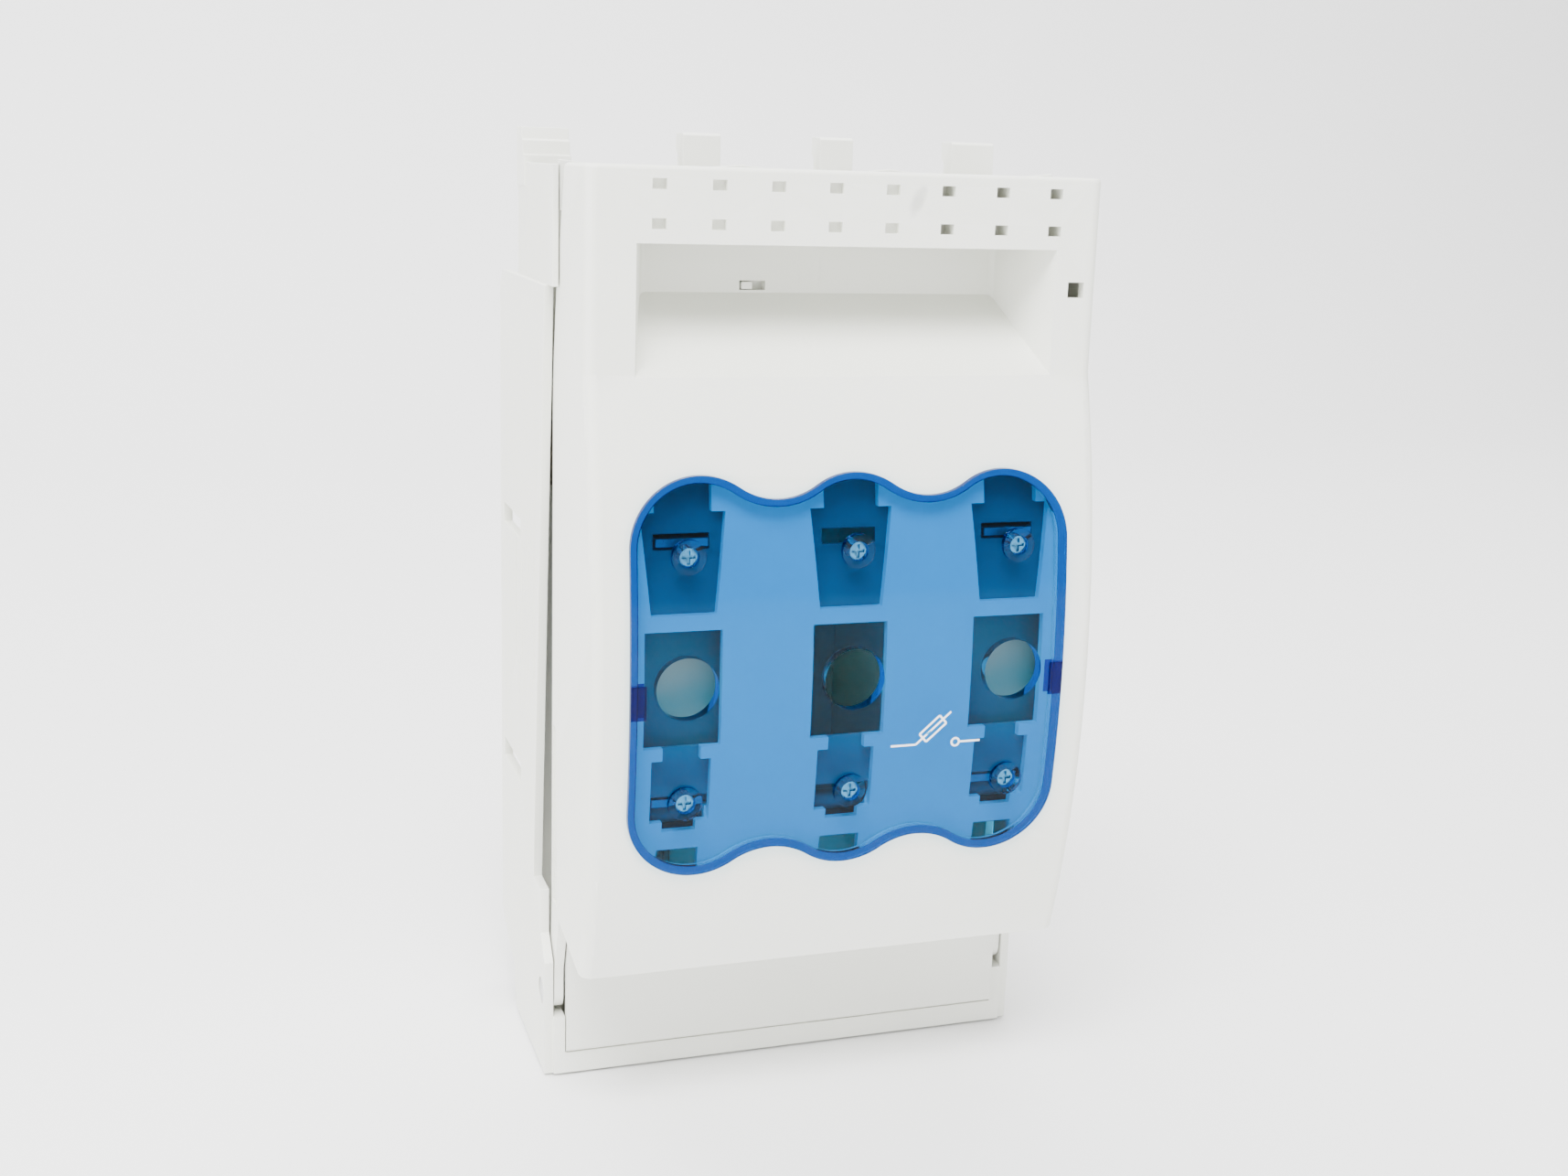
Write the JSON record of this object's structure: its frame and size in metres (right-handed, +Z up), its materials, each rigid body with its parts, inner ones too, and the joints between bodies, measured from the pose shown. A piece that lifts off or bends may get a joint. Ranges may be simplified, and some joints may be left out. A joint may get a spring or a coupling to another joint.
{
  "type": "fuse switch disconnector",
  "caption": "Panel-mounted fuse holder and switch for blade fuse-links: pull-down lid with a wide finger grip, clear blue inspection window, and sprung contact jaws in each pole",
  "frame": {"origin": "centre of the four fixing holes, on the rear mounting plane", "axes": "+Z is up as the device hangs on its panel, -Y is the front with the lid, +X runs to the right along the row of poles as seen from the front"},
  "size_m": [0.106, 0.0855, 0.1935],
  "materials": {
    "housing_plastic": "fine moulded texture, light grey",
    "cover_plastic": "fine moulded texture, light grey",
    "lid_plastic": "fine moulded texture, pale grey",
    "window_plastic": "clear blue, smooth",
    "carrier_plastic": "smooth white",
    "lever_plastic": "smooth dark grey",
    "pin_steel": "drawn wire",
    "plated_steel": "zinc plated, slightly dull",
    "contact_metal": "silver plated copper, rubbed at the jaws",
    "spring_steel": "blued spring steel",
    "arc_chamber_plastic": "heat resistant moulding",
    "arc_plate_steel": "punched steel",
    "fuse_ceramic": "glazed off-white",
    "fuse_cap_metal": "stamped, satin",
    "fuse_blade_metal": "silver plated copper",
    "contact_plating": "nickel plated",
    "clamp_plastic": "smooth dark slate",
    "element_metal": "punched copper strip",
    "indicator_red": "smooth red"
  },
  "bodies": {
    "base": {"base_housing": "housing_plastic", "upper_terminal_cover": "cover_plastic", "lower_terminal_cover": "cover_plastic", "contact_screws": "plated_steel", "terminal_bolts": "plated_steel", "terminal_washers": "plated_steel", "terminal_nuts": "plated_steel", "upper_contact_left": "contact_metal", "upper_contact_centre": "contact_metal", "upper_contact_right": "contact_metal", "lower_contact_left": "contact_metal", "lower_contact_centre": "contact_metal", "lower_contact_right": "contact_metal", "upper_jaw_spring_left": "spring_steel", "upper_jaw_spring_centre": "spring_steel", "upper_jaw_spring_right": "spring_steel", "lower_jaw_spring_left": "spring_steel", "lower_jaw_spring_centre": "spring_steel", "lower_jaw_spring_right": "spring_steel", "arc_chamber_left": "arc_chamber_plastic", "arc_chamber_centre": "arc_chamber_plastic", "arc_chamber_right": "arc_chamber_plastic", "arc_plates_left": "arc_plate_steel", "arc_plates_centre": "arc_plate_steel", "arc_plates_right": "arc_plate_steel", "phase_barriers": "housing_plastic"},
    "lid": {"lid_cover": "lid_plastic", "inspection_window": "window_plastic", "fuse_carrier": "carrier_plastic", "carrier_screws": "plated_steel", "lever_pins": "pin_steel", "hinge_pin_left": "pin_steel", "hinge_pin_right": "pin_steel", "test_contacts": "contact_plating", "upper_fuse_clamps": "clamp_plastic", "lower_fuse_clamps": "clamp_plastic", "fuse_body_left": "fuse_ceramic", "fuse_body_right": "fuse_ceramic", "fuse_cap_upper_left": "fuse_cap_metal", "fuse_cap_upper_right": "fuse_cap_metal", "fuse_cap_lower_left": "fuse_cap_metal", "fuse_cap_lower_right": "fuse_cap_metal", "fuse_blade_upper_left": "fuse_blade_metal", "fuse_blade_upper_right": "fuse_blade_metal", "fuse_blade_lower_left": "fuse_blade_metal", "fuse_blade_lower_right": "fuse_blade_metal", "fuse_element_left": "element_metal", "fuse_element_right": "element_metal", "fuse_indicator_left": "indicator_red", "fuse_indicator_right": "indicator_red"},
    "release_lever_left": {"fuse_release_lever_left": "lever_plastic"},
    "release_lever_centre": {"fuse_release_lever_centre": "lever_plastic"},
    "release_lever_right": {"fuse_release_lever_right": "lever_plastic"},
    "lock": {"lock_slide": "lid_plastic"}
  },
  "joints": [
    {"name": "lid_hinge", "type": "hinge", "parent": "base", "child": "lid", "pos_m": [0, -0.0468, -0.0767], "axis": [1, 0, 0], "range_deg": [0, 90]},
    {"name": "release_lever_left_pivot", "type": "hinge", "parent": "lid", "child": "release_lever_left", "pos_m": [-0.033, -0.0752, -0.0282], "axis": [1, 0, 0], "range_deg": [-18, 0], "stiffness_Nm_per_rad": 0.02},
    {"name": "release_lever_centre_pivot", "type": "hinge", "parent": "lid", "child": "release_lever_centre", "pos_m": [0, -0.0752, -0.0282], "axis": [1, 0, 0], "range_deg": [-18, 0], "stiffness_Nm_per_rad": 0.02},
    {"name": "release_lever_right_pivot", "type": "hinge", "parent": "lid", "child": "release_lever_right", "pos_m": [0.033, -0.0752, -0.0282], "axis": [1, 0, 0], "range_deg": [-18, 0], "stiffness_Nm_per_rad": 0.02},
    {"name": "lock_slide_travel", "type": "slide", "parent": "lid", "child": "lock", "axis": [1, 0, 0], "range_m": [0, 0.0024]}
  ]
}
